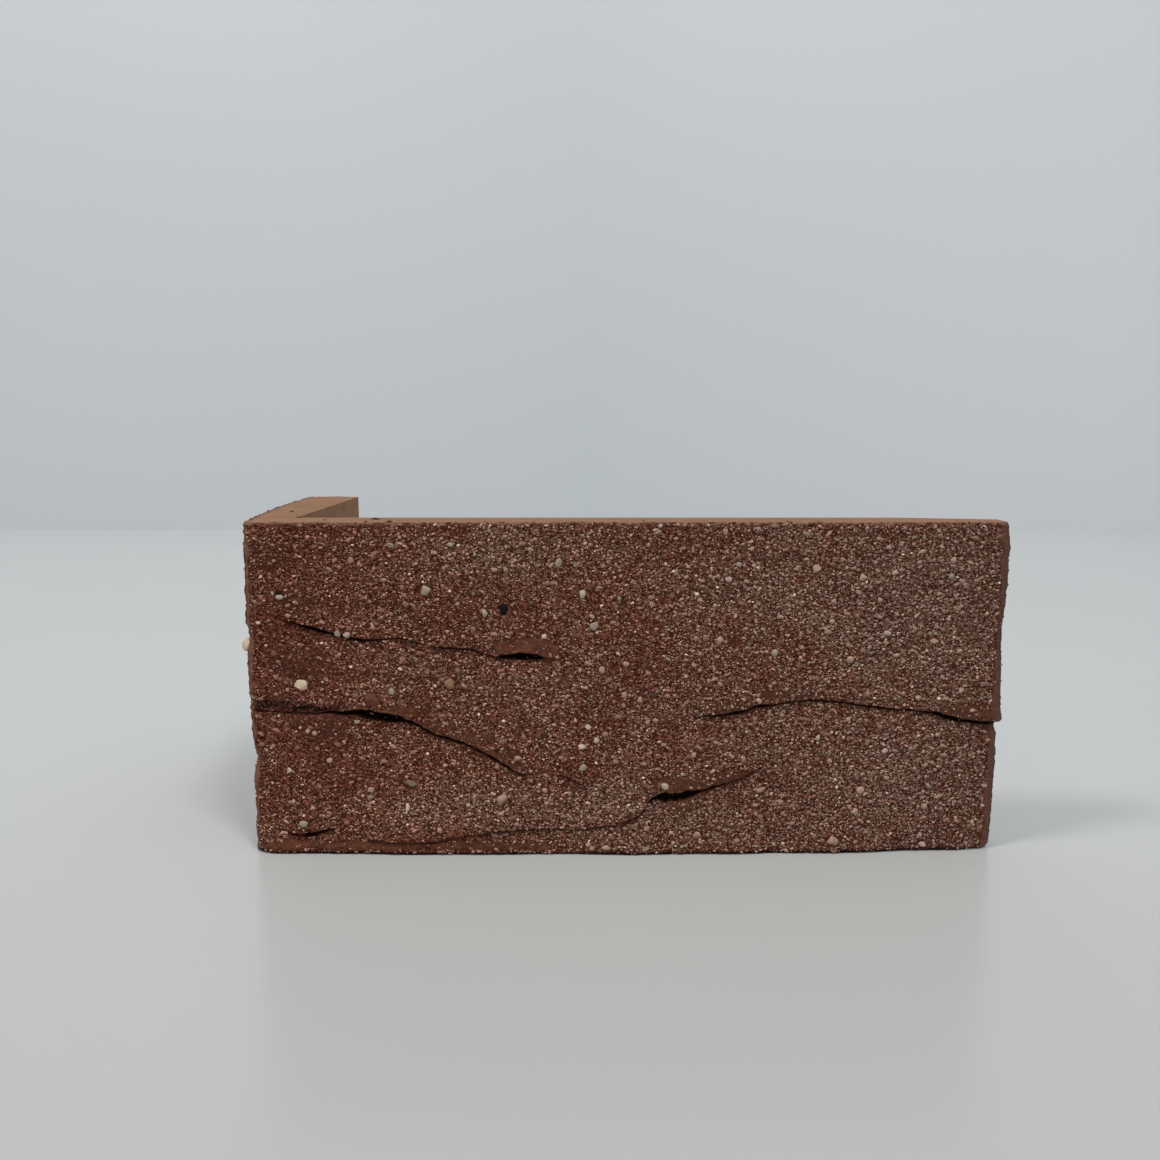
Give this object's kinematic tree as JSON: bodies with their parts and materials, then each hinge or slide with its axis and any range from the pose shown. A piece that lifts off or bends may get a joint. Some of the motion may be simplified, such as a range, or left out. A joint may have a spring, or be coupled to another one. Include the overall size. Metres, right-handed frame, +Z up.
{
  "type": "corner brick slip",
  "caption": "L-shaped thin brick facing for an outside wall corner, with sand-faced, creased clay outside and flat cut beds and backs.",
  "frame": {"origin": "centre of the bounding box's footprint, on the lower cut bed", "axes": "+X along the long leg away from the corner, +Y from the long leg's outer face towards the return's far end, +Z up"},
  "size_m": [0.1524, 0.0736, 0.0652],
  "materials": {
    "fired_clay": "rough"
  },
  "bodies": {
    "root": {"corner_brick_slip": "fired_clay"}
  },
  "joints": []
}
